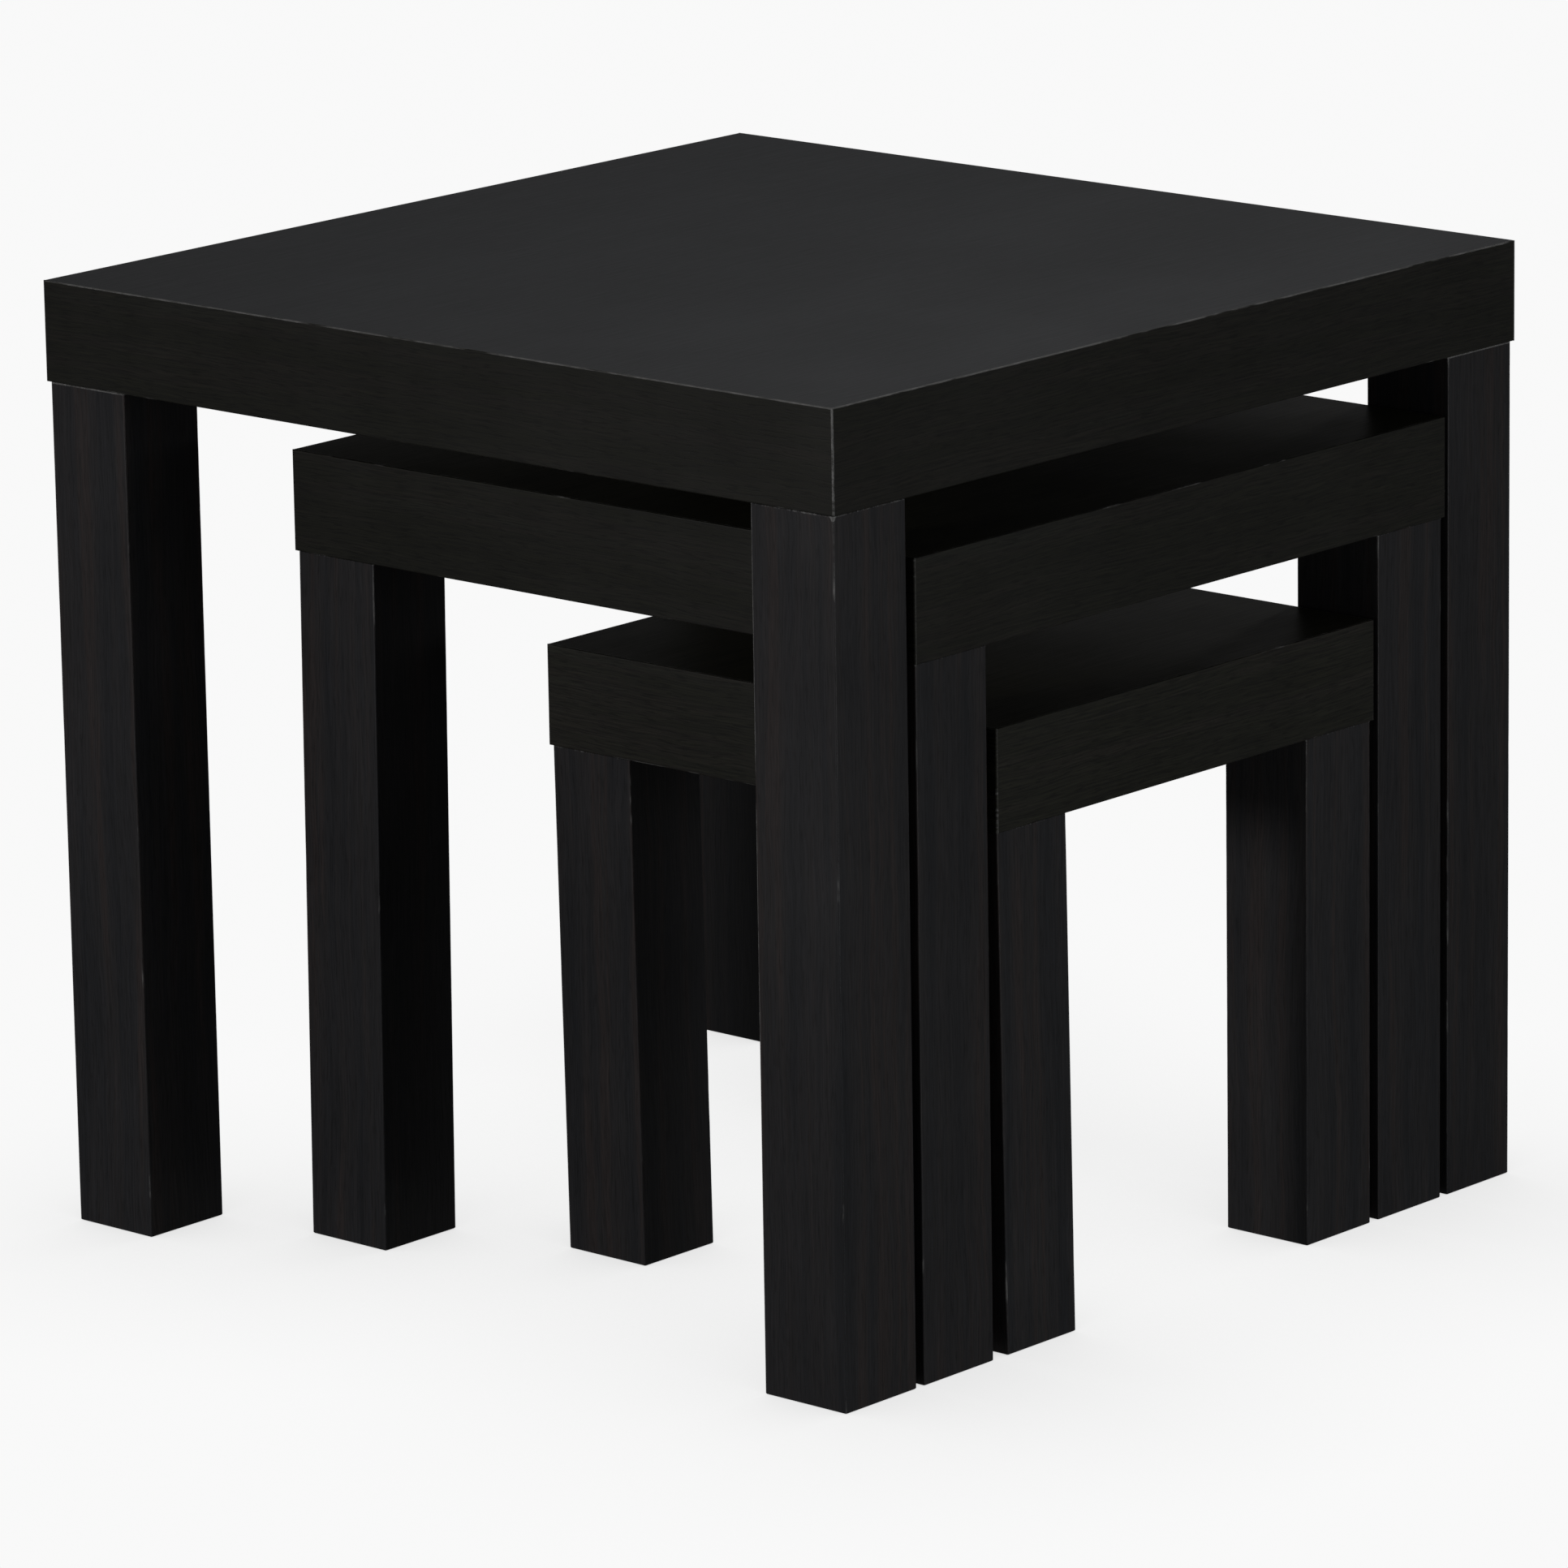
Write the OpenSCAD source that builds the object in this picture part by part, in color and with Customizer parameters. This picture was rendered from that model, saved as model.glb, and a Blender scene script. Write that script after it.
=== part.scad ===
// Nest of three square tables, one standing under the next.
// Each top is a board-on-frame slab, and each leg a hollow post held by one hanger bolt.
// X runs side to side, Y front to back and Z up. The origin is on the floor, at the
// middle of the large table. All three front faces are flush, at the front, -Y.

/* [Nest] */
// Width of the large table, side to side
large_w = 508; // [420:1:660]
// Depth of the large table, front to back
large_d = 508; // [420:1:660]
// Height of the large table
large_h = 475; // [390:1:640]
// Depth of the middle table, front to back
mid_d = 397; // [320:1:500]
// Depth of the small table, front to back
small_d = 284; // [220:1:380]
// Gap on each side of the middle table, to the large table's legs
mid_side_gap = 4; // [2:0.5:10]
// Gap on each side of the small table, to the middle table's legs
small_side_gap = 5; // [2:0.5:10]
// Gap over the middle table, to the underside of the large one
mid_top_gap = 29; // [10:1:60]
// Gap over the small table, to the underside of the middle one
small_top_gap = 41; // [10:1:60]

/* [Tops] */
// Thickness of each top over its edge bands
top_t = 50; // [38:1:62]
// Thickness of the board of the upper and lower panels
panel_t = 3; // [2.5:0.5:5]
// Thickness of the edge bands
band_t = 1; // [0.5:0.5:3]
// Width of the frame rails
rail_w = 15; // [10:0.5:17]
// Side of the square corner blocks
block_w = 60; // [48:1:72]

/* [Core] */
// Honeycomb cell, across its flats
cell_w = 36; // [24:1:60]
// Paper wall between two cells
cell_wall = 1; // [0.6:0.1:2]
// Paper strip round the core's outline
core_border = 2; // [1:0.5:4]
// Gap between the core and the frame
core_gap = 0.5; // [0.3:0.1:2]

/* [Legs] */
// Side of the square legs
leg_w = 50; // [41:1:60]
// Distance of a leg's faces inside the faces of the top
leg_inset = 1.5; // [0.5:0.5:6]
// Thickness of a leg's walls
leg_wall = 5; // [4:0.5:8]
// Rounding of a leg's long edges
leg_round = 0.8; // [0.4:0.1:2]
// Length of the block in a leg's top end
head_l = 90; // [60:1:120]
// Length of the block in a leg's bottom end
foot_l = 40; // [20:1:80]
// Distance of the foot block above the floor
foot_recess = 1; // [0.5:0.5:3]

/* [Fixings] */
// Diameter of the hanger bolts
bolt_d = 8; // [6:1:10]
// Diameter of the bolts at the root of the wood thread
bolt_root_d = 5.6; // [4:0.1:5.8]
// Length of a bolt above the underside of the top
bolt_up_l = 36; // [28:1:42]
// Length of a bolt below the underside of the top
bolt_down_l = 40; // [28:1:55]
// Pitch of the wood thread
thread_pitch = 3; // [2:0.5:4]
// Diameter of the threaded inserts
insert_d = 12; // [11:0.5:14]
// Length of the threaded inserts
insert_l = 25; // [15:1:35]
// Diameter of the inserts' flanges
flange_d = 16; // [15:0.5:20]
// Thickness of the inserts' flanges
flange_t = 1.5; // [1:0.25:2.5]
// Gap round a bolt or an insert in its hole
hole_gap = 0.2; // [0.1:0.05:0.5]
// Depth of a hole past the end of its bolt
hole_spare = 2; // [1:0.5:4]

/* [Hidden] */
NAME = 0;
W = 1;
D = 2;
H = 3;
// Widths and heights follow from what each table stands under
leg_band = leg_inset + leg_w;
mid_w = large_w - 2 * (leg_band + mid_side_gap);
small_w = mid_w - 2 * (leg_band + small_side_gap);
mid_h = large_h - top_t - mid_top_gap;
small_h = mid_h - top_t - small_top_gap;
TABLES = [
    ["large", large_w, large_d, large_h],
    ["mid", mid_w, mid_d, mid_h],
    ["small", small_w, small_d, small_h]
];
SIDES = ["front", "back", "left", "right"];
// Each corner: its name, and which end of X and of Y it is at
CORNERS = [
    ["front_left", 0, 0],
    ["front_right", 1, 0],
    ["back_left", 0, 1],
    ["back_right", 1, 1]
];
PIECES = [
    "top_panel", "bottom_panel", "core", "corner_blocks",
    "leg_heads", "leg_feet", "leg_bolts", "leg_inserts"
];
$fn = 48;
frame_edge = band_t + rail_w;
leg_bore = leg_w - 2 * leg_wall;
leg_axis = leg_inset + leg_w / 2;
bolt_chamfer = bolt_d / 8;
thread_start = panel_t + hole_spare;
thread_turns = floor((bolt_up_l - thread_start) / thread_pitch) - 1;
// Length by which a cutting shape runs past the face that it cuts
cut = 1;
foil_top = "#2b2b2e";
foil_edge = "#211f1f";
foil_leg = "#2a2426";
chipboard = "#b89465";
kraft = "#a98a5f";
zinc = "#c9ccd0";

// Stands a table in the nest: centred in X, with its front face flush
module in_nest(t) {
    translate([-t[W] / 2, -large_d / 2, 0])
        children();
}

// Repeats a shape on the axis of each leg
module at_legs(t) {
    for (corner = CORNERS)
        translate([
            corner[1] == 0 ? leg_axis : t[W] - leg_axis,
            corner[2] == 0 ? leg_axis : t[D] - leg_axis,
            0
        ])
            children();
}

// A strip along one side of a w by d rectangle. Its long pair runs right through,
// and the other pair fits between.
module side_strip(side, w, d, thick, through) {
    across = side == "front" || side == "back";
    long = across == (through == "x");
    length = (across ? w : d) - (long ? 0 : 2 * thick);
    start = long ? 0 : thick;
    near = side == "back" ? d - thick : side == "right" ? w - thick : 0;
    translate(across ? [start, near] : [near, start])
        square(across ? [length, thick] : [thick, length]);
}

// Square post standing on the origin, with rounded long edges
module rounded_post(side, height, radius) {
    inner = side - 2 * radius;
    translate([-inner / 2, -side / 2, 0])
        cube([inner, side, height]);
    translate([-side / 2, -inner / 2, 0])
        cube([side, inner, height]);
    for (x = [-1, 1], y = [-1, 1])
        translate([x * inner / 2, y * inner / 2, 0])
            cylinder(h = height, r = radius);
}

module square_block(side, height) {
    translate([-side / 2, -side / 2, 0])
        cube([side, side, height]);
}

// Upper board of the top, between the edge bands
module top_panel(t) {
    color(foil_top)
        translate([band_t, band_t, t[H] - panel_t])
            cube([t[W] - 2 * band_t, t[D] - 2 * band_t, panel_t]);
}

// Lower board of the top, drilled for the bolts
module bottom_panel(t) {
    color(foil_edge)
        translate([0, 0, t[H] - top_t])
            difference() {
                translate([band_t, band_t, 0])
                    cube([t[W] - 2 * band_t, t[D] - 2 * band_t, panel_t]);
                at_legs(t)
                    translate([0, 0, -cut])
                        cylinder(h = panel_t + 2 * cut, d = bolt_d + 2 * hole_gap);
            }
}

// One edge band. The side bands run the whole depth, and the others fit between.
module edge_band(t, side) {
    color(foil_edge)
        translate([0, 0, t[H] - top_t])
            linear_extrude(top_t)
                side_strip(side, t[W], t[D], band_t, "y");
}

// One frame rail. The front and back rails run the whole width.
module rail(t, side) {
    color(chipboard)
        translate([band_t, band_t, t[H] - top_t + panel_t])
            linear_extrude(top_t - 2 * panel_t)
                side_strip(side, t[W] - 2 * band_t, t[D] - 2 * band_t, rail_w, "x");
}

// Blocks in the frame's corners, which the bolts screw into
module corner_blocks(t) {
    color(chipboard)
        translate([0, 0, t[H] - top_t])
            difference() {
                for (corner = CORNERS)
                    translate([
                        corner[1] == 0 ? frame_edge : t[W] - frame_edge - block_w,
                        corner[2] == 0 ? frame_edge : t[D] - frame_edge - block_w,
                        panel_t
                    ])
                        cube([block_w, block_w, top_t - 2 * panel_t]);
                at_legs(t)
                    cylinder(h = bolt_up_l + hole_spare, d = bolt_d + 2 * hole_gap);
            }
}

// Plan of the space inside the frame and the corner blocks, drawn in by an inset
module core_plan(t, inset) {
    edge = frame_edge + core_gap + inset;
    notch = frame_edge + block_w + core_gap + inset;
    translate([edge, notch])
        square([t[W] - 2 * edge, t[D] - 2 * notch]);
    translate([notch, edge])
        square([t[W] - 2 * notch, t[D] - 2 * edge]);
}

// Honeycomb of paper cells that holds the two boards apart
module core(t) {
    pitch_x = cell_w + cell_wall;
    pitch_y = pitch_x * sin(60);
    columns = ceil(t[W] / pitch_x / 2);
    rows = ceil(t[D] / pitch_y / 2);
    color(kraft)
        translate([0, 0, t[H] - top_t + panel_t])
            linear_extrude(top_t - 2 * panel_t)
                difference() {
                    core_plan(t, 0);
                    intersection() {
                        core_plan(t, core_border);
                        translate([t[W] / 2, t[D] / 2])
                            for (row = [-rows : rows], column = [-columns : columns])
                                translate([
                                    (column + (row % 2 == 0 ? 0 : 0.5)) * pitch_x,
                                    row * pitch_y
                                ])
                                    rotate(30)
                                        circle(r = cell_w / 2 / cos(30), $fn = 6);
                    }
                }
}

// One hollow leg
module leg(t, corner) {
    color(foil_leg)
        translate([
            corner[1] == 0 ? leg_axis : t[W] - leg_axis,
            corner[2] == 0 ? leg_axis : t[D] - leg_axis,
            0
        ])
            difference() {
                rounded_post(leg_w, t[H] - top_t, leg_round);
                translate([0, 0, -cut])
                    square_block(leg_bore, t[H] - top_t + 2 * cut);
            }
}

// Blocks in the legs' top ends, bored for the inserts
module leg_heads(t) {
    color(chipboard)
        at_legs(t)
            translate([0, 0, t[H] - top_t])
                difference() {
                    translate([0, 0, -head_l])
                        square_block(leg_bore, head_l);
                    translate([0, 0, -bolt_down_l - hole_spare])
                        cylinder(h = bolt_down_l + hole_spare + cut, d = bolt_d + 2 * hole_gap);
                    translate([0, 0, -flange_t - insert_l - hole_gap])
                        cylinder(h = flange_t + insert_l + hole_gap + cut, d = insert_d + 2 * hole_gap);
                    translate([0, 0, -flange_t - hole_gap])
                        cylinder(h = flange_t + hole_gap + cut, d = flange_d + 2 * hole_gap);
                }
}

// Blocks that close the legs' bottom ends
module leg_feet(t) {
    color(chipboard)
        at_legs(t)
            translate([0, 0, foot_recess])
                square_block(leg_bore, foot_l);
}

// Hanger bolts: a machine thread below, in the leg, and a wood thread above, in the top
module leg_bolts(t) {
    radius = bolt_d / 2;
    color(zinc)
        at_legs(t)
            translate([0, 0, t[H] - top_t])
                rotate_extrude()
                    polygon(concat(
                        [
                            [0, -bolt_down_l],
                            [radius - bolt_chamfer, -bolt_down_l],
                            [radius, -bolt_down_l + bolt_chamfer],
                            [radius, thread_start - thread_pitch / 2]
                        ],
                        [
                            for (turn = [0 : thread_turns - 1])
                                each [
                                    [bolt_root_d / 2, thread_start + turn * thread_pitch],
                                    [radius, thread_start + (turn + 0.5) * thread_pitch]
                                ]
                        ],
                        [
                            [bolt_root_d / 2, thread_start + thread_turns * thread_pitch],
                            [0, bolt_up_l]
                        ]
                    ));
}

// Threaded inserts in the leg heads
module leg_inserts(t) {
    color(zinc)
        at_legs(t)
            translate([0, 0, t[H] - top_t - hole_gap])
                difference() {
                    union() {
                        translate([0, 0, -flange_t - insert_l + hole_gap])
                            cylinder(h = insert_l, d = insert_d);
                        translate([0, 0, -flange_t])
                            cylinder(h = flange_t, d = flange_d);
                    }
                    translate([0, 0, -flange_t - insert_l - cut])
                        cylinder(h = flange_t + insert_l + 2 * cut, d = bolt_d + 2 * hole_gap);
                }
}

for (t = TABLES)
    in_nest(t) {
        top_panel(t);
        bottom_panel(t);
        core(t);
        corner_blocks(t);
        leg_heads(t);
        leg_feet(t);
        leg_bolts(t);
        leg_inserts(t);
        for (side = SIDES) {
            rail(t, side);
            edge_band(t, side);
        }
        for (corner = CORNERS)
            leg(t, corner);
    }
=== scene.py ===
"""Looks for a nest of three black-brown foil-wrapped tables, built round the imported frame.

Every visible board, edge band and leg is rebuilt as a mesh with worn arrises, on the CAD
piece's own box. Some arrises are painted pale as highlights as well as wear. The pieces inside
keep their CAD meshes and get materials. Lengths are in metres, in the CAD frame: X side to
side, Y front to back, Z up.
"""

import math

import bpy
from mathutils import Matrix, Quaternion, Vector
from mathutils.noise import noise


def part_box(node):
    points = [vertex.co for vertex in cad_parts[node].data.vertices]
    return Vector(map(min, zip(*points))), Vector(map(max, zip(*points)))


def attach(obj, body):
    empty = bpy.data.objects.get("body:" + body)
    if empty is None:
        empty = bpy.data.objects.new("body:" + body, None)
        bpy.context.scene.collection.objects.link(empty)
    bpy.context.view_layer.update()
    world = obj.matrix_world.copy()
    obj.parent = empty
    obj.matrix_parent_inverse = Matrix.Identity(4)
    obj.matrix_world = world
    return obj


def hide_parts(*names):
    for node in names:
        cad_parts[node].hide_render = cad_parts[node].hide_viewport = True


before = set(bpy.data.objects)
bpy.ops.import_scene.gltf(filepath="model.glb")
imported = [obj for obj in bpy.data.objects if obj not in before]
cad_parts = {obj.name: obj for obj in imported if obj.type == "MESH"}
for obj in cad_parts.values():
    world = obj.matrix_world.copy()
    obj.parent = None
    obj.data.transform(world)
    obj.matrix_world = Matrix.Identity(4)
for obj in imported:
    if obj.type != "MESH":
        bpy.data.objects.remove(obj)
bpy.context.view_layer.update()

TABLES = ("large", "mid", "small")
SIDES = ("front", "back", "left", "right")
CORNERS = ("front_left", "front_right", "back_left", "back_right")

MM = 0.001
ARC_STEPS = 3  # segments round each arris
STEP = 6 * MM  # distance between two rings along a piece
INNER_GRAIN = 5 * MM  # grain length given to the end of a leg's wall, and to its inside
SHARP_ANGLE = 40  # degrees between two faces from which their shared edge is shaded sharp
SUPPORT = 0.3 * MM  # width of the strip beside an arris over which wear fades out

# Arris radii
BOARD_ARRIS = 0.12 * MM
BAND_ARRIS = 0.45 * MM
BAND_END_ARRIS = {"large": 0.5 * MM, "mid": 0.9 * MM, "small": 0.9 * MM}
LEG_ARRIS = 0.6 * MM
END_ARRIS = 0.4 * MM
# How far a leg's top end stops below the top, and how much bare board may show under it
LEG_GAP = 0.15 * MM
BARE_END = 0.8 * MM

# Wear of an arris: fine unevenness all along it, and a deeper nick here and there
UNEVEN = 0.06 * MM
NICK = 0.35 * MM
NICKS_PER_M = 34
# Share of each kind of arris that is painted pale: rubbed wear, and on the upright band ends
# and the back left arris of each leg also a painted highlight. The large table takes most of the
# knocks.
TOP_RUB = {"large": 0.75, "mid": 0.12, "small": 0.16}
UNDER_RUB = 0.12
# Upright band ends: wear, and a painted highlight along the rounded corner
UPRIGHT_RUB_AND_HIGHLIGHT = {"large": 1.0, "mid": 0.34, "small": 0.34}
# The back left arris of each leg (0.80) is mostly a painted highlight, the others are wear
LEG_RUB_AND_HIGHLIGHT = (0.10, 0.12, 0.80, 0.08)  # front right, back right, back left and front left arris
# Knocks add to the rub of a leg's arrises, most at its top and none from this far down
KNOCKS = 0.22
KNOCKS_REACH = 80 * MM
# Wear round a leg's foot at the least, and how much more its bare upper end shows
FOOT_WEAR = 0.35
BARE_END_GAIN = 1.7

# The three tables' edge foils are given different depths, tuned so each table's edges match the
# brightness measured under these lights: painted light and shade, lighter on the small table,
# darker on the large
EDGE_PAINTED_LIGHT = {"large": 0.88, "mid": 1.0, "small": 1.4}
# Single legs' foils are painted lighter or darker the same way: painted light on the left legs and
# the small table's front legs, painted shade on the large table's right legs, most on the back
# right one
LEG_PAINTED_LIGHT = {
    ("large", "front_left"): 1.05,
    ("large", "back_left"): 1.08,
    ("large", "front_right"): 0.88,
    ("large", "back_right"): 0.75,
    ("small", "front_left"): 1.05,
    ("small", "front_right"): 1.08,
}
# How bare the board shows round a leg's upper end, from 0 to 1: on most legs, and on a few
BARE_END_WEAR = 0.32
BARE_ENDS = {
    ("large", "front_left"): 0.50,
    ("large", "front_right"): 0.90,
    ("large", "back_left"): 0.75,
}
# The chip at the top of one arris: which arris, how far in along the faces and how far down
CHIPS = {("large", "front_left"): (3, 1.5 * MM, 2.8 * MM)}
# How far the foot of a leg that isn't quite upright stands off, along X and Y
LEAN = {
    ("mid", "back_left"): (0.0, 4 * MM),
    ("small", "front_left"): (4 * MM, 0.0),
    ("small", "back_left"): (4 * MM, 0.0),
}

# Pale tones of the bare board that shows where the foil is rubbed through, also used for the
# painted highlights along some arrises
BARE_AND_HIGHLIGHT_TONES = [(0.3, (0.10, 0.099, 0.097)), (0.7, (0.23, 0.228, 0.225))]


# ---------------------------------------------------------------- meshes


def nick_depth(s, seed):
    """How far an arris is worn in at a distance s along it."""
    fine = abs(noise(Vector((s * 210, seed * 7.3, 0.5))))
    deep = noise(Vector((s * NICKS_PER_M, seed * 3.1, 4.2)))
    return UNEVEN * fine + NICK * max(0.0, deep - 0.42)


def rub(s, seed, share):
    """How pale an arris is painted at a distance s along it, from 0 to 1: rubbed wear, and on some
    arrises a painted highlight.
    """
    wide = noise(Vector((s * 26, seed * 5.7, 9.1)))
    narrow = noise(Vector((s * 90, seed * 2.9, 3.3)))
    return max(0.0, min(1.0, share + 0.5 * (wide + 0.5 * narrow)))


def positions(length, fixed):
    """Ring positions from 0 to length: the fixed ones, and even steps between them."""
    marks = sorted({0.0, length, *fixed})
    found = []
    for low, high in zip(marks, marks[1:]):
        count = max(1, round((high - low) / STEP))
        found += [low + (high - low) * i / count for i in range(count)]
    return found + [length]


def arc(centre, radius, start, depth):
    """Points of a quarter circle from an angle in degrees, worn in by a depth."""
    points = []
    for i in range(ARC_STEPS + 1):
        a = math.radians(start + 90 * i / ARC_STEPS)
        reach = radius - depth * math.sin(math.pi * (i + 0.5) / (ARC_STEPS + 1))
        points.append((centre[0] + reach * math.cos(a), centre[1] + reach * math.sin(a)))
    return points


class Shell:
    """A mesh made of rings of points, with grain coordinates and a value at each point for wear and
    painted highlight.

    Grain coordinates are metres along and across the grain, kept as the piece's UV map.
    """

    def __init__(self, name):
        self.name = name
        self.points, self.wear, self.faces, self.grain = [], [], [], []

    def ring(self, points, wear):
        first = len(self.points)
        self.points += [Vector(p) for p in points]
        self.wear += list(wear)
        return list(range(first, len(self.points)))

    def join(self, low, high, along, across):
        """Quads between two rings. along is each ring's place, across each point's place."""
        n = len(low)
        for j in range(n):
            k = (j + 1) % n
            self.faces.append((low[j], low[k], high[k], high[j]))
            self.grain.append(
                [
                    (along[0], across[j]),
                    (along[0], across[j + 1]),
                    (along[1], across[j + 1]),
                    (along[1], across[j]),
                ]
            )

    def cap(self, ring, axes, flip=False):
        """A flat face over a ring, with grain coordinates from two axes."""
        face = list(reversed(ring)) if flip else list(ring)
        self.faces.append(tuple(face))
        self.grain.append([(self.points[i][axes[0]], self.points[i][axes[1]]) for i in face])

    def make(self, material, seed, tone=1.0):
        mesh = bpy.data.meshes.new(self.name)
        mesh.from_pydata([p[:] for p in self.points], [], self.faces)
        layer = mesh.uv_layers.new(name="grain")
        shift = Vector((seed * 1.37, seed * 0.731))
        corner = 0
        for values in self.grain:
            for value in values:
                layer.data[corner].uv = Vector(value) + shift
                corner += 1
        wear = mesh.attributes.new("wear", "FLOAT", "POINT")
        wear.data.foreach_set("value", self.wear)
        # A tone per piece that scales the foil's colour: painted light and shade, set per table and
        # per leg
        shade = mesh.attributes.new("tone", "FLOAT", "POINT")
        shade.data.foreach_set("value", [tone] * len(self.points))
        mesh.polygons.foreach_set("use_smooth", [True] * len(mesh.polygons))
        mesh.set_sharp_from_angle(angle=math.radians(SHARP_ANGLE))
        mesh.materials.append(material)
        mesh.validate()
        mesh.update()
        obj = bpy.data.objects.new(self.name, mesh)
        bpy.context.scene.collection.objects.link(obj)
        return obj


def running_total(points):
    """Distance round a closed ring at each point, and back at the first one."""
    total = [0.0]
    for a, b in zip(points, points[1:] + points[:1]):
        total.append(total[-1] + math.dist(a, b))
    return total


def leg_ring(low, high, inset, nicks, rubs, chips=(0.0,) * 4):
    """Plan of a square post with rounded corners. Points, and wear with painted highlight,
    anticlockwise.

    nicks, rubs and chips go by arris. A chip widens its arris.
    """
    x0, y0, x1, y1 = low.x + inset, low.y + inset, high.x - inset, high.y - inset
    points, wear = [], []
    corners = ((x1, y0, -1, 1, -90), (x1, y1, -1, -1, 0), (x0, y1, 1, -1, 90), (x0, y0, 1, 1, 180))
    for (x, y, in_x, in_y, start), depth, rubbed, chip in zip(corners, nicks, rubs, chips):
        r = LEG_ARRIS + chip
        cx, cy = x + in_x * r, y + in_y * r
        a = math.radians(start)
        before = (
            cx + r * math.cos(a) + SUPPORT * math.sin(a),
            cy + r * math.sin(a) - SUPPORT * math.cos(a),
        )
        b = math.radians(start + 90)
        after = (
            cx + r * math.cos(b) - SUPPORT * math.sin(b),
            cy + r * math.sin(b) + SUPPORT * math.cos(b),
        )
        points += [before, *arc((cx, cy), r, start, depth), after]
        wear += [0.0, *[min(1.0, rubbed + 0.6 * depth / NICK)] * (ARC_STEPS + 1), 0.0]
    return points, wear


def build_leg(name, node, bore, lean, bare, chip, material, seed, tone):
    """A hollow post, open at both ends, with worn long edges, one painted pale as a highlight, and
    a bare upper end.

    lean is how far the foot stands off along X and Y, and bare how bare the upper end is.
    """
    low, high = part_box(node)
    high = Vector((high.x, high.y, high.z - LEG_GAP))
    length = high.z - low.z
    shell = Shell(name)
    marks = [
        END_ARRIS,
        END_ARRIS + SUPPORT,
        length - BARE_END - SUPPORT,
        length - BARE_END,
        length - END_ARRIS,
    ]
    chipped, chip_in, chip_down = chip
    if chip_in:
        marks += [length - chip_down * f for f in (0.5, 0.75, 1.0)]
    rings, places = [], []
    for s in positions(length, marks):
        end = min(s, length - s)
        inset = END_ARRIS - end if end < END_ARRIS else 0.0
        nicks = [nick_depth(s, seed + 0.21 * i) for i in range(4)]
        knocks = KNOCKS * max(0.0, 1 - (length - s) / KNOCKS_REACH)
        rubs = [rub(s, seed + 0.33 * i, LEG_RUB_AND_HIGHLIGHT[i] + knocks) for i in range(4)]
        chips = [0.0] * 4
        if length - s < chip_down:
            chips[chipped] = chip_in * (1 - (length - s) / chip_down)
            rubs[chipped] = 1.0
        points, wear = leg_ring(low, high, inset, nicks, rubs, chips)
        if s >= length - BARE_END:
            wear = [max(bare, BARE_END_GAIN * w) for w in wear]
        elif s <= END_ARRIS:
            wear = [max(FOOT_WEAR, w) for w in wear]
        off = [d * (1 - s / length) for d in lean]
        placed = [(x + off[0], y + off[1], low.z + s) for x, y in points]
        rings.append(shell.ring(placed, wear))
        places.append(s)
    plan, _ = leg_ring(low, high, 0.0, (0.0,) * 4, (0.0,) * 4)
    across = running_total(plan)
    middle = (low + high) / 2
    half = bore / 2
    inner = [
        (
            middle.x + max(-half, min(half, x - middle.x)),
            middle.y + max(-half, min(half, y - middle.y)),
        )
        for x, y in plan
    ]
    for z in (high.z, low.z):
        rings.append(shell.ring([(x, y, z) for x, y in inner], [1.0] * len(inner)))
        places.append(places[-1] + INNER_GRAIN)
    for i in range(len(rings) - 1):
        shell.join(rings[i], rings[i + 1], (places[i], places[i + 1]), across)
    shell.join(rings[-1], rings[0], (0.0, 0.0), across)
    return shell.make(material, seed, tone)


def band_section(thick, height, drawn, nicks, rubs):
    """Section of an edge band as (out, up), with its outer arrises rounded, and its wear.

    drawn is how far the outer face is drawn in.
    """
    r = BAND_ARRIS
    lower = arc((thick - r, r), r, -90, nicks[0])
    upper = arc((thick - r, height - r), r, 0, nicks[1])
    outline = [
        (0.0, 0.0),
        *lower,
        (thick, r + SUPPORT),
        (thick, height - r - SUPPORT),
        *upper,
        (0.0, height),
    ]
    worn = [min(1.0, r + 0.5 * d / NICK) for r, d in zip(rubs, nicks)]
    wear = [0.0, *[worn[0]] * (ARC_STEPS + 1), 0.0, 0.0, *[worn[1]] * (ARC_STEPS + 1), 0.0]
    return [(min(out, thick - drawn), up) for out, up in outline], wear


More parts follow.
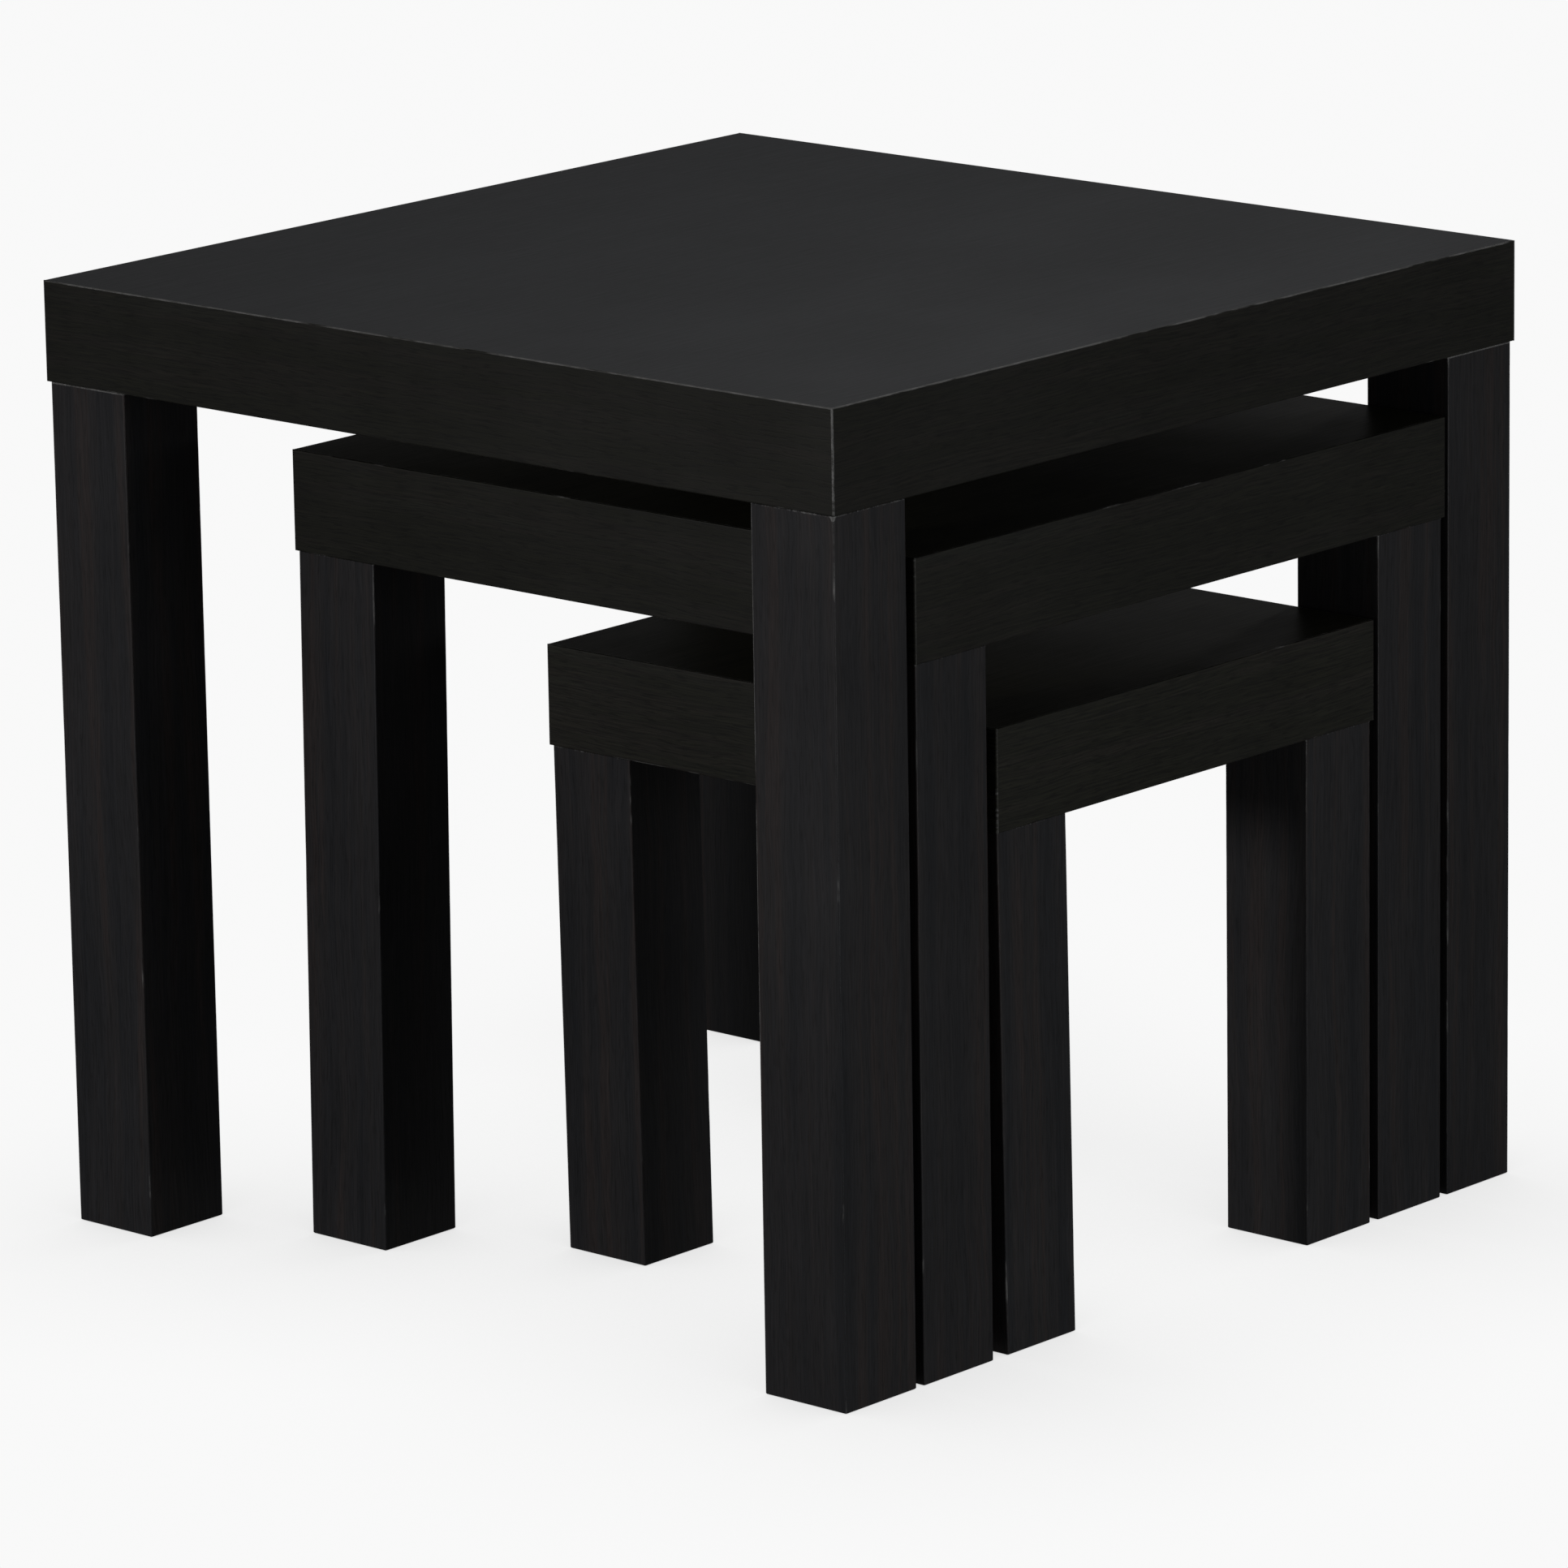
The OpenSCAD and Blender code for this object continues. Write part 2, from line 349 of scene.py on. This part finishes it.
def build_band(name, node, side, table, material, seed):
    """One edge band. The side bands run right through, so their ends are rounded."""
    low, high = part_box(node)
    across_x = side in ("front", "back")
    length = high.x - low.x if across_x else high.y - low.y
    thick = high.y - low.y if across_x else high.x - low.x
    height = high.z - low.z
    r = 0.0 if across_x else BAND_END_ARRIS[table]
    marks = []
    if r:
        marks = [r * (1 - math.cos(math.radians(30 * i))) for i in range(1, 4)] + [r + SUPPORT]
        marks += [length - m for m in marks]
    shell = Shell(name)
    rings, places = [], []
    for s in positions(length, marks):
        end = min(s, length - s)
        nicks = [nick_depth(s, seed + 0.4), nick_depth(s, seed)]
        rubs = [rub(s, seed + 0.7, UNDER_RUB), rub(s, seed, TOP_RUB[table])]
        drawn = r - math.sqrt(max(0.0, r * r - (r - end) ** 2)) if end < r else 0.0
        section, wear = band_section(thick, height, drawn, nicks, rubs)
        # The rounded upright ends are painted pale: wear, and a painted highlight along the corner
        if r and end <= r * 1.001:
            wear = [rub(up, seed + 0.5, UPRIGHT_RUB_AND_HIGHLIGHT[table]) for _, up in section]
        points = []
        for out, up in section:
            z = low.z + up
            if side == "front":
                points.append((low.x + s, high.y - out, z))
            elif side == "back":
                points.append((high.x - s, low.y + out, z))
            elif side == "left":
                points.append((high.x - out, high.y - s, z))
            else:
                points.append((low.x + out, low.y + s, z))
        rings.append(shell.ring(points, wear))
        places.append(s)
    middle = [shell.points[i] for i in rings[len(rings) // 2]]
    across = running_total([(p.x + p.y, p.z) for p in middle])
    for i in range(len(rings) - 1):
        shell.join(rings[i + 1], rings[i], (places[i + 1], places[i]), across)
    axes = (1, 2) if across_x else (0, 2)
    shell.cap(rings[0], axes)
    shell.cap(rings[-1], axes, flip=True)
    return shell.make(material, seed, EDGE_PAINTED_LIGHT[table])


def build_board(name, node, material, seed):
    """The upper board of a top, with a hairline arris beside the edge bands."""
    low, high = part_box(node)
    a = BOARD_ARRIS
    shell = Shell(name)
    # Inset, height and wear of each ring
    levels = ((0, low.z, 0.0), (0, high.z - a, 0.8), (a, high.z, 0.8), (a + SUPPORT, high.z, 0.0))
    rings = []
    for inset, z, wear in levels:
        x0, y0, x1, y1 = low.x + inset, low.y + inset, high.x - inset, high.y - inset
        rings.append(shell.ring([(x0, y0, z), (x1, y0, z), (x1, y1, z), (x0, y1, z)], [wear] * 4))
    for lower, upper in zip(rings, rings[1:]):
        for j in range(4):
            k = (j + 1) % 4
            face = (lower[j], lower[k], upper[k], upper[j])
            shell.faces.append(face)
            shell.grain.append([tuple(shell.points[i].xy) for i in face])
    shell.cap(rings[0], (0, 1), flip=True)
    shell.cap(rings[-1], (0, 1))
    return shell.make(material, seed)


# ---------------------------------------------------------------- materials


def add(tree, kind, inputs=None, **settings):
    """A node, with its settings, and its inputs by name as links or values."""
    made = tree.nodes.new(kind)
    for key, value in settings.items():
        setattr(made, key, value)
    for key, value in (inputs or {}).items():
        if isinstance(value, bpy.types.NodeSocket):
            tree.links.new(value, made.inputs[key])
        else:
            made.inputs[key].default_value = value
    return made


def new_material(name):
    """A material, its node tree and its shader, joined to the output."""
    material = bpy.data.materials.new(name)
    material.use_nodes = True
    tree = material.node_tree
    tree.nodes.clear()
    shader = add(tree, "ShaderNodeBsdfPrincipled")
    output = add(tree, "ShaderNodeOutputMaterial")
    tree.links.new(shader.outputs["BSDF"], output.inputs["Surface"])
    return material, tree, shader


def scaled(tree, vector, scale):
    """A vector times a scale for each axis."""
    return add(tree, "ShaderNodeVectorMath", {0: vector, 1: scale}, operation="MULTIPLY").outputs[0]


def cloud(tree, vector, scale, detail=3.0, rough=0.55, distort=0.0):
    """Noise over a vector, scaled along each axis, in cycles a metre."""
    inputs = {
        "Vector": scaled(tree, vector, scale),
        "Scale": 1.0,
        "Detail": detail,
        "Roughness": rough,
        "Distortion": distort,
    }
    return add(tree, "ShaderNodeTexNoise", inputs).outputs[0]


def stretch(tree, value, low, high, to_low=0.0, to_high=1.0):
    """A value from one range to another, held at its ends."""
    inputs = {"Value": value, 1: low, 2: high, 3: to_low, 4: to_high}
    return add(tree, "ShaderNodeMapRange", inputs, clamp=True).outputs[0]


def maths(tree, operation, a, b):
    """One sum of two values."""
    return add(tree, "ShaderNodeMath", {0: a, 1: b}, operation=operation).outputs[0]


def ramp(tree, value, stops):
    """A colour ramp from (place, colour) stops."""
    made = add(tree, "ShaderNodeValToRGB", {"Fac": value})
    elements = made.color_ramp.elements
    while len(elements) < len(stops):
        elements.new(0.5)
    for element, (place, colour) in zip(elements, stops):
        element.position = place
        element.color = (*colour, 1)
    return made.outputs["Color"]


def blend(tree, factor, a, b, mode="MIX"):
    """Two colours blended. The factor and the colours are links or values."""
    made = add(tree, "ShaderNodeMix", data_type="RGBA", blend_type=mode)
    for index, value in ((0, factor), (6, a), (7, b)):
        if isinstance(value, bpy.types.NodeSocket):
            tree.links.new(value, made.inputs[index])
        else:
            made.inputs[index].default_value = value if index == 0 else (*value, 1)
    return made.outputs[2]


def bump(tree, height, distance, strength=1.0):
    """A normal tilted by a height, where a height of 1 stands for the distance."""
    inputs = {"Height": height, "Distance": distance, "Strength": strength}
    return add(tree, "ShaderNodeBump", inputs).outputs["Normal"]


def mixture(tree, a, share, b):
    """A share of one value, and the rest of another."""
    return maths(
        tree, "ADD", maths(tree, "MULTIPLY", a, share), maths(tree, "MULTIPLY", b, 1 - share)
    )


def foil(name, tones, bands, line, shade, dash, warp, rough, sheen_tint=(1.0, 1.0, 1.0)):
    """Wood-grain foil. The grain runs along U; tones go from dark to light.

    bands and line are the cycles a metre of the broad bands and the fine lines across the
    grain. shade is how far the fine lines swing the tone, dash how dark the short dashes are,
    and warp how far the lines wander, in metres.
    """
    material, tree, shader = new_material(name)
    grain = add(tree, "ShaderNodeUVMap", uv_map="grain").outputs["UV"]
    sway = stretch(tree, cloud(tree, grain, (9, 30, 1), 3), 0.2, 0.8, -warp, warp)
    sway = add(tree, "ShaderNodeCombineXYZ", {1: sway}).outputs[0]
    path = add(tree, "ShaderNodeVectorMath", {0: grain, 1: sway}, operation="ADD").outputs[0]
    broad = cloud(tree, path, (2.2, bands, 1), 4, 0.6, 0.3)
    fine = cloud(tree, path, (18, line, 1), 3, 0.6)
    hair = cloud(tree, path, (40, line * 2.3, 1), 2, 0.6)
    patch = cloud(tree, grain, (8, 20, 1), 3)
    pores = cloud(tree, path, (90, line * 0.9, 1), 1, 0.5)
    swing = mixture(tree, fine, 0.6, hair)
    dark = stretch(tree, pores, 0.54, 0.68)
    light = stretch(tree, swing, 0.36, 0.64, 1 - shade, 1 + shade)
    light = maths(tree, "MULTIPLY", light, stretch(tree, patch, 0.3, 0.7, 0.92, 1.08))
    light = maths(tree, "MULTIPLY", light, stretch(tree, dark, 0.0, 1.0, 1.0, 1 - dash))
    # The piece's tone: painted light and shade, set per table and per leg
    tone = add(tree, "ShaderNodeAttribute", attribute_name="tone").outputs["Fac"]
    light = maths(tree, "MULTIPLY", light, tone)
    grey = add(tree, "ShaderNodeCombineColor", {0: light, 1: light, 2: light}).outputs[0]
    colour = ramp(tree, stretch(tree, broad, 0.32, 0.68), tones)
    colour = blend(tree, 1.0, colour, grey, "MULTIPLY")
    # Wear and painted highlights: the foil is painted pale along the arrises, in patches, where it
    # is rubbed and where a highlight is painted
    wear = add(tree, "ShaderNodeAttribute", attribute_name="wear").outputs["Fac"]
    break_up = maths(
        tree, "ADD", cloud(tree, grain, (60, 700, 1), 3, 0.6), cloud(tree, grain, (70, 70, 1), 2)
    )
    broken = maths(tree, "ADD", wear, stretch(tree, break_up, 0.7, 1.3, -0.3, 0.3))
    worn = stretch(tree, broken, 0.4, 0.75)
    bare = ramp(tree, cloud(tree, grain, (150, 150, 1), 3), BARE_AND_HIGHLIGHT_TONES)
    # Dust: a few tiny pale specks
    spots = {"Vector": scaled(tree, grain, (30, 30, 1)), "Scale": 1.0}
    cells = add(tree, "ShaderNodeTexVoronoi", spots)
    chance = add(tree, "ShaderNodeSeparateColor", {0: cells.outputs["Color"]}).outputs[0]
    size = stretch(tree, chance, 0.75, 1.0, 0.0, 0.014)
    speck = maths(tree, "LESS_THAN", cells.outputs["Distance"], size)
    worn = maths(tree, "MAXIMUM", worn, maths(tree, "MULTIPLY", speck, 0.5))
    tree.links.new(blend(tree, worn, colour, bare), shader.inputs["Base Color"])
    sheen = stretch(tree, swing, 0.3, 0.7, rough + 0.05, rough - 0.05)
    smudge = stretch(tree, cloud(tree, grain, (11, 9, 1), 4, 0.6), 0.35, 0.65, -0.03, 0.04)
    sheen = maths(tree, "ADD", sheen, smudge)
    sheen = maths(tree, "ADD", sheen, maths(tree, "MULTIPLY", worn, 0.1))
    tree.links.new(sheen, shader.inputs["Roughness"])
    height = maths(tree, "SUBTRACT", swing, maths(tree, "MULTIPLY", dark, 0.6))
    tree.links.new(bump(tree, height, 0.05 * MM, 0.5), shader.inputs["Normal"])
    shader.inputs["IOR"].default_value = 1.47
    shader.inputs["Specular Tint"].default_value = (*sheen_tint, 1)
    return material


def chipboard(name):
    """Bare chipboard: pressed flakes of several tones, with dark gaps between them."""
    material, tree, shader = new_material(name)
    place = add(tree, "ShaderNodeTexCoord").outputs["Object"]
    flakes = add(
        tree,
        "ShaderNodeTexVoronoi",
        {"Vector": scaled(tree, place, (260, 620, 420)), "Scale": 1.0, "Randomness": 1.0},
    )
    tone = add(tree, "ShaderNodeSeparateColor", {0: flakes.outputs["Color"]}).outputs[0]
    wood = [(0.0, (0.24, 0.15, 0.075)), (0.5, (0.44, 0.30, 0.16)), (1.0, (0.60, 0.45, 0.27))]
    colour = ramp(tree, tone, wood)
    gaps = stretch(tree, flakes.outputs["Distance"], 0.35, 0.75, 1.0, 0.55)
    grey = add(tree, "ShaderNodeCombineColor", {0: gaps, 1: gaps, 2: gaps}).outputs[0]
    tree.links.new(blend(tree, 1.0, colour, grey, "MULTIPLY"), shader.inputs["Base Color"])
    rough = stretch(tree, cloud(tree, place, (300, 300, 300)), 0.3, 0.7, 0.72, 0.92)
    tree.links.new(rough, shader.inputs["Roughness"])
    tree.links.new(bump(tree, gaps, 0.2 * MM), shader.inputs["Normal"])
    return material


def kraft(name):
    """Brown paper, with fibres and slight mottling."""
    material, tree, shader = new_material(name)
    place = add(tree, "ShaderNodeTexCoord").outputs["Object"]
    fibres = cloud(tree, place, (900, 900, 160), 5, 0.7)
    mottle = cloud(tree, place, (40, 40, 40), 3)
    mixed = mixture(tree, fibres, 0.6, mottle)
    colour = ramp(tree, mixed, [(0.35, (0.25, 0.16, 0.085)), (0.65, (0.42, 0.29, 0.17))])
    tree.links.new(colour, shader.inputs["Base Color"])
    tree.links.new(stretch(tree, fibres, 0.3, 0.7, 0.8, 0.95), shader.inputs["Roughness"])
    tree.links.new(bump(tree, fibres, 0.1 * MM), shader.inputs["Normal"])
    return material


def zinc(name):
    """Zinc-plated steel, faintly mottled and streaked."""
    material, tree, shader = new_material(name)
    place = add(tree, "ShaderNodeTexCoord").outputs["Object"]
    spangle = cloud(tree, place, (420, 420, 420), 4, 0.6)
    colour = ramp(tree, spangle, [(0.3, (0.50, 0.51, 0.53)), (0.7, (0.68, 0.69, 0.70))])
    tree.links.new(colour, shader.inputs["Base Color"])
    shader.inputs["Metallic"].default_value = 1.0
    tree.links.new(stretch(tree, spangle, 0.3, 0.7, 0.28, 0.42), shader.inputs["Roughness"])
    turned = cloud(tree, place, (200, 200, 2600), 2)
    tree.links.new(bump(tree, turned, 0.03 * MM), shader.inputs["Normal"])
    return material


def board_back(name):
    """The plain foil on the underside of a top: matt, faintly grained along X."""
    material, tree, shader = new_material(name)
    place = add(tree, "ShaderNodeTexCoord").outputs["Object"]
    lines = cloud(tree, place, (14, 700, 700), 4, 0.6)
    blotch = cloud(tree, place, (9, 12, 12), 3)
    mixed = mixture(tree, lines, 0.6, blotch)
    tones = [(0.35, (0.0095, 0.0092, 0.0078)), (0.65, (0.0175, 0.0168, 0.0145))]
    colour = ramp(tree, mixed, tones)
    tree.links.new(colour, shader.inputs["Base Color"])
    tree.links.new(stretch(tree, mixed, 0.3, 0.7, 0.62, 0.5), shader.inputs["Roughness"])
    tree.links.new(bump(tree, lines, 0.04 * MM, 0.5), shader.inputs["Normal"])
    return material


top_looks = {
    "bands": 24,
    "line": 800,
    "shade": 0.60,
    "dash": 0.35,
    "warp": 1.0 * MM,
    "rough": 0.40,
}
# Blue-grey tones: the base colour carries a painted reflection
painted_reflection_tones = [
    (0.0, (0.0128, 0.0133, 0.0150)),
    (0.5, (0.0153, 0.0159, 0.0176)),
    (1.0, (0.0188, 0.0195, 0.0215)),
]
# Olive tones: the base colour carries painted shade colour
painted_shade_tones = [
    (0.0, (0.0140, 0.0136, 0.0078)),
    (0.5, (0.0168, 0.0163, 0.0096)),
    (1.0, (0.0205, 0.0198, 0.0124)),
]
# The large table's top is painted blue-grey with a cool specular tint: a painted reflection of a
# pale sky-like sheen. The lower tops are painted olive with a warm tint: the painted colour of the
# shade they lie in
top_foils = {
    "large": foil("top_foil_large_painted_reflection", painted_reflection_tones, sheen_tint=(0.90, 0.945, 1.0), **top_looks),
    "mid": foil("top_foil_lower_painted_shade", painted_shade_tones, sheen_tint=(1.0, 0.98, 0.80), **top_looks),
}
top_foils["small"] = top_foils["mid"]
edge_foil = foil(
    "edge_foil",
    tones=[
        (0.0, (0.0080, 0.0080, 0.0051)),
        (0.45, (0.0096, 0.0098, 0.0067)),
        (0.72, (0.0120, 0.0108, 0.0086)),
        (1.0, (0.0116, 0.0120, 0.0090)),
    ],
    sheen_tint=(1.0, 1.0, 0.96),
    bands=90,
    line=950,
    shade=0.85,
    dash=0.6,
    warp=2.2 * MM,
    rough=0.42,
)
leg_foil = foil(
    "leg_foil",
    tones=[
        (0.0, (0.0150, 0.0160, 0.0188)),
        (0.3, (0.0205, 0.0206, 0.0230)),
        (0.6, (0.0252, 0.0236, 0.0248)),
        (0.8, (0.0330, 0.0262, 0.0255)),
        (1.0, (0.0258, 0.0244, 0.0252)),
    ],
    bands=85,
    line=1000,
    shade=0.42,
    dash=0.30,
    warp=3.0 * MM,
    rough=0.40,
)
under_foil = board_back("under_foil")
bare_chipboard = chipboard("bare_chipboard")
paper = kraft("paper")
zinc_steel = zinc("zinc_steel")


# ---------------------------------------------------------------- pieces

inside = {
    "bottom_panel": under_foil,
    "core": paper,
    "corner_blocks": bare_chipboard,
    "leg_heads": bare_chipboard,
    "leg_feet": bare_chipboard,
    "leg_bolts": zinc_steel,
    "leg_inserts": zinc_steel,
}
inside.update({f"rail_{side}": bare_chipboard for side in SIDES})

seed = 1
for table in TABLES:
    body = f"{table}_table"
    for part, material in inside.items():
        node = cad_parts[f"{table}_{part}"]
        node.data.materials.clear()
        node.data.materials.append(material)
    board = build_board(f"{table}_top_board", f"{table}_top_panel", top_foils[table], seed)
    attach(board, body)
    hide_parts(f"{table}_top_panel")
    seed += 1
    for side in SIDES:
        node = f"{table}_edge_{side}"
        band = build_band(f"{table}_band_{side}", node, side, table, edge_foil, seed)
        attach(band, body)
        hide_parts(f"{table}_edge_{side}")
        seed += 1
    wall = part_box(f"{table}_leg_feet")[0].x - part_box(f"{table}_leg_front_left")[0].x
    for corner in CORNERS:
        node = f"{table}_leg_{corner}"
        low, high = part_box(node)
        bore = high.x - low.x - 2 * wall
        lean = LEAN.get((table, corner), (0.0, 0.0))
        bare = BARE_ENDS.get((table, corner), BARE_END_WEAR)
        chip = CHIPS.get((table, corner), (0, 0.0, 0.0))
        # The leg's painted light and shade
        tone = LEG_PAINTED_LIGHT.get((table, corner), 1.0)
        name = f"{table}_post_{corner}"
        post = build_leg(name, node, bore, lean, bare, chip, leg_foil, seed, tone)
        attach(post, body)
        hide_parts(node)
        seed += 1


# ---------------------------------------------------------------- studio

PALE = 0.945  # radiance of the floor and the backdrop, as the camera sees them
FLOOR_DIM = 0.061  # radiance of the floor, as the tables see it
# Painted contact shadow: how much the floor's glow is dimmed right under a leg, and how far out
CONTACT_SHADOW = 0.3  # how much the floor darkens right under a leg
CONTACT_SHADOW_REACH = 0.25
FLOOR_HALF = 8.0
FLOOR_DROP = 0.2 * MM  # keeps the floor clear of the feet
LIGHT_DISTANCE = 3.0
LIGHT_AIM = Vector((0, 0, 0.25))
# Name, azimuth (0 is from the front, -90 from the left), elevation, width, height, strength
# and colour. A strength of 1 makes a white surface facing the light as bright as a white pixel.
LIGHTS = (
    ("left", -98, 12, 0.45, 0.45, 0.235, (1.0, 0.985, 0.99)),
    ("front", 0, 7.5, 1.5, 1.15, 0.20, (0.985, 0.995, 1.0)),
    ("right", 99, 12, 0.45, 0.45, 0.12, (1.0, 0.985, 0.99)),
    ("back_top", 120, 60, 1.5, 1.5, 0.19, (1.0, 1.0, 1.0)),
)


def facing(azimuth, elevation):
    """Unit vector towards a light or the camera, from its azimuth and elevation in degrees."""
    a, e = math.radians(azimuth), math.radians(elevation)
    return Vector((math.sin(a) * math.cos(e), -math.cos(a) * math.cos(e), math.sin(e)))


for name, azimuth, elevation, width, height, strength, colour in LIGHTS:
    light = bpy.data.lights.new(name, "AREA")
    light.shape = "ELLIPSE"
    light.size = width
    light.size_y = height
    light.energy = strength * (math.pi * LIGHT_DISTANCE) ** 2
    light.color = colour
    lamp = bpy.data.objects.new(name, light)
    source = facing(azimuth, elevation)
    lamp.location = LIGHT_AIM + source * LIGHT_DISTANCE
    lamp.rotation_mode = "QUATERNION"
    lamp.rotation_quaternion = source.to_track_quat("Z", "Y")
    lamp.visible_camera = False
    bpy.context.scene.collection.objects.link(lamp)
    if name == "left":
        # Seen from low on the right, the large top would mirror this light as a white patch
        flagged = bpy.data.collections.new("off_left_light")
        flagged.objects.link(bpy.data.objects["large_top_board"])
        flagged.collection_objects[0].light_linking.link_state = "EXCLUDE"
        lamp.light_linking.receiver_collection = flagged

# The floor looks pale to the camera, with a painted contact shadow where a leg meets it, and dim to
# everything else
mesh = bpy.data.meshes.new("floor")
h = FLOOR_HALF
mesh.from_pydata([(-h, -h, 0), (h, -h, 0), (h, h, 0), (-h, h, 0)], [], [(0, 1, 2, 3)])
floor = bpy.data.objects.new("floor", mesh)
floor.location.z = -FLOOR_DROP
bpy.context.scene.collection.objects.link(floor)
material = bpy.data.materials.new("floor")
material.use_nodes = True
tree = material.node_tree
tree.nodes.clear()
seen = add(tree, "ShaderNodeLightPath").outputs["Is Camera Ray"]
occlusion = add(tree, "ShaderNodeAmbientOcclusion", {"Distance": CONTACT_SHADOW_REACH}, samples=8)
open_sky = occlusion.outputs["AO"]
pale = stretch(tree, open_sky, 0, 1, PALE * (1 - CONTACT_SHADOW), PALE)
shown = add(tree, "ShaderNodeMix", {0: seen, 2: FLOOR_DIM, 3: pale}).outputs[0]
glow = add(tree, "ShaderNodeEmission", {"Color": (1, 1, 1, 1), "Strength": shown})
add(tree, "ShaderNodeOutputMaterial", {"Surface": glow.outputs[0]})
mesh.materials.append(material)

# The world is the same pale tone to the camera, and a dim room to everything else
world = bpy.data.worlds.new("studio")
world.use_nodes = True
tree = world.node_tree
tree.nodes.clear()
seen = add(tree, "ShaderNodeLightPath").outputs["Is Camera Ray"]
direction = add(tree, "ShaderNodeTexCoord").outputs["Generated"]
up = add(tree, "ShaderNodeSeparateXYZ", {0: direction}).outputs["Z"]
room_tones = [
    (0.0, (0.126, 0.126, 0.128)),
    (0.18, (0.124, 0.124, 0.126)),
    (0.26, (0.03, 0.03, 0.03)),
]
room = ramp(tree, up, room_tones)
shown = blend(tree, seen, room, (PALE, PALE, PALE))
background = add(tree, "ShaderNodeBackground", {"Color": shown})
add(tree, "ShaderNodeOutputWorld", {"Surface": background.outputs[0]})
bpy.context.scene.world = world
bpy.context.scene.view_settings.view_transform = "Standard"

# The camera stands off the front left corner, with a long lens and a slight roll
CAMERA_AZIMUTH = -48.33
CAMERA_ELEVATION = 13.99
CAMERA_ROLL = -0.93
CAMERA_DISTANCE = 4.612
CAMERA_AIM = Vector((-0.0022, 0.0025, 0.212))
CAMERA_LENS = 214.4  # millimetres, on the sensor width below
CAMERA_SENSOR = 36
CAMERA_FAR = 50
data = bpy.data.cameras.new("camera")
data.lens = CAMERA_LENS
data.sensor_width = CAMERA_SENSOR
data.clip_end = CAMERA_FAR
camera = bpy.data.objects.new("camera", data)
back = facing(CAMERA_AZIMUTH, CAMERA_ELEVATION)
camera.location = CAMERA_AIM + back * CAMERA_DISTANCE
camera.rotation_mode = "QUATERNION"
roll = Quaternion((0, 0, 1), math.radians(CAMERA_ROLL))
camera.rotation_quaternion = back.to_track_quat("Z", "Y") @ roll
bpy.context.scene.collection.objects.link(camera)
bpy.context.scene.camera = camera
